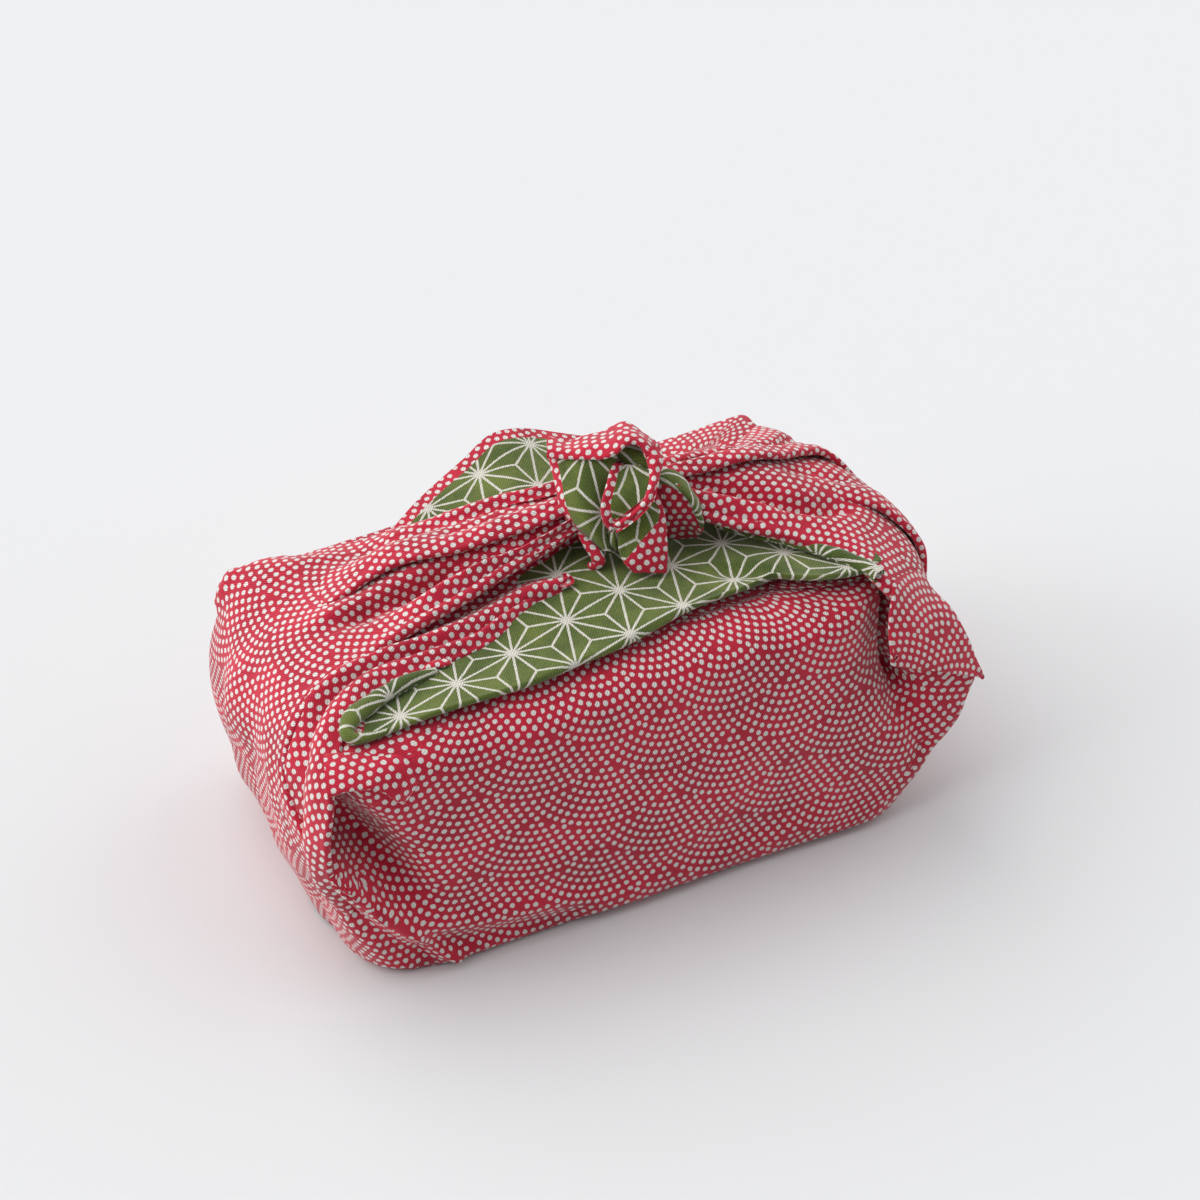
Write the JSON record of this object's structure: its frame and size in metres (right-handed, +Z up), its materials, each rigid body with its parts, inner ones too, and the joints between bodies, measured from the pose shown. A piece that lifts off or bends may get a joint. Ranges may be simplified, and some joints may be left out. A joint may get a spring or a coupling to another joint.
{
  "type": "furoshiki wrap",
  "caption": "Square reversible cotton cloth wrapped round a box, its flap folded back on top to show the other side, and its corners gathered into pleated arms and knotted.",
  "frame": {"origin": "on the flat underside, under the middle of the wrapped box", "axes": "+Z up, +X along the box's long side, -Y towards the front with the folded-back flap"},
  "size_m": [0.223, 0.1192, 0.1268],
  "materials": {
    "cloth": "ribbed cotton, red with off-white dots outside, green with off-white star lattice inside"
  },
  "bodies": {
    "root": {"furoshiki_cloth": "cloth"}
  },
  "joints": []
}
